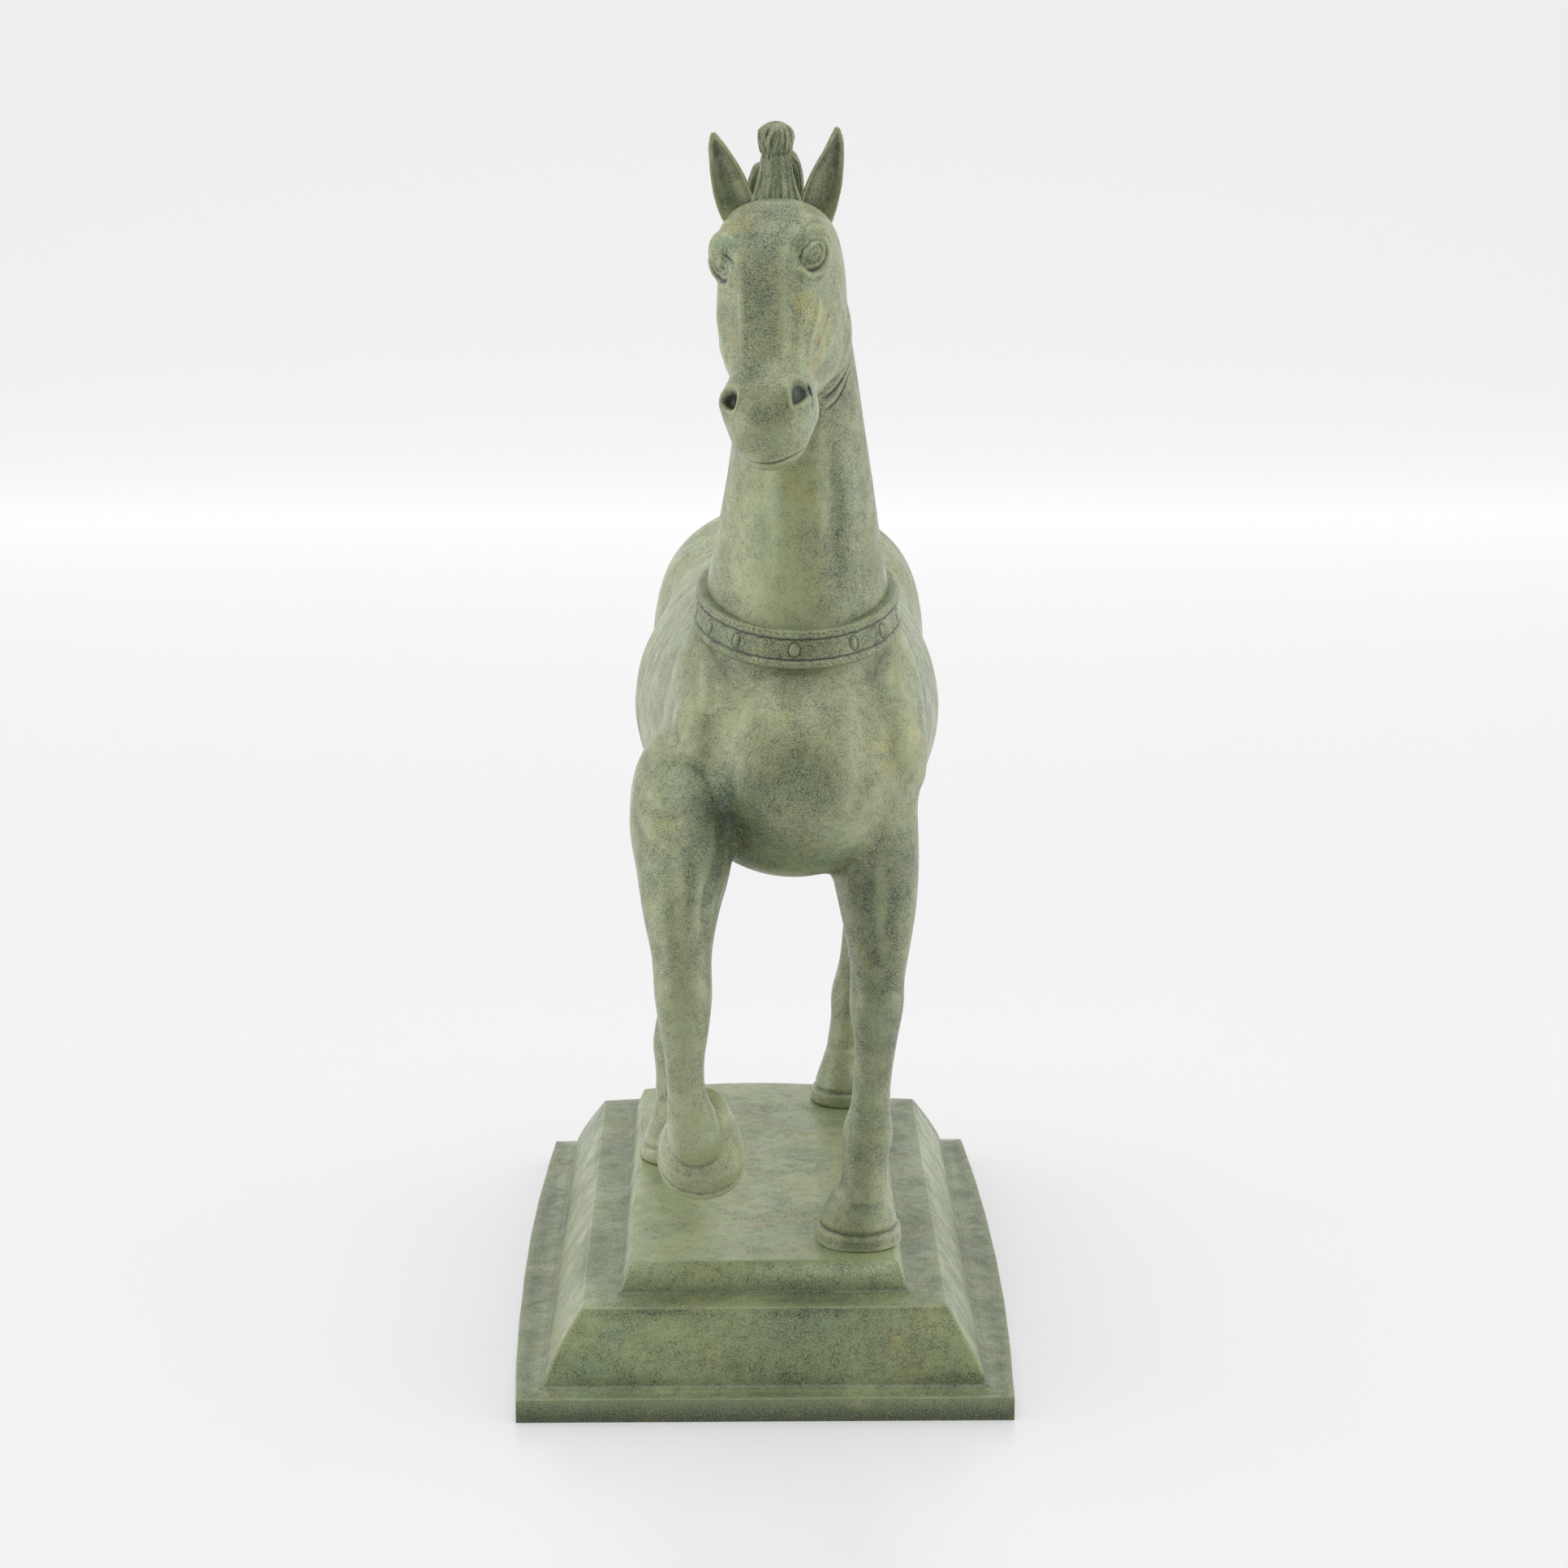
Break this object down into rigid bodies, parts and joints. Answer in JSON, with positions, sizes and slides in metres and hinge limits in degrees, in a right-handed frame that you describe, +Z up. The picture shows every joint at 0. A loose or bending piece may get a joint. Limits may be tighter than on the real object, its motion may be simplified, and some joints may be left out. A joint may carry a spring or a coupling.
{
  "type": "bronze horse sculpture",
  "caption": "Cast bronze statue of a walking horse with one foreleg raised, a tied forelock and a studded collar, on a stepped rectangular base with a green patina.",
  "frame": {"origin": "middle of the base's flat underside", "axes": "+Z up, -Y the way the horse walks, +X to the horse's left"},
  "size_m": [0.1844, 0.3104, 0.4506],
  "materials": {
    "green_bronze": "waxed grey-green verdigris patina over cast bronze, satin",
    "green_bronze_base": "waxed grey-green verdigris patina over cast bronze, satin"
  },
  "bodies": {
    "root": {"horse": "green_bronze", "base": "green_bronze_base"}
  },
  "joints": []
}
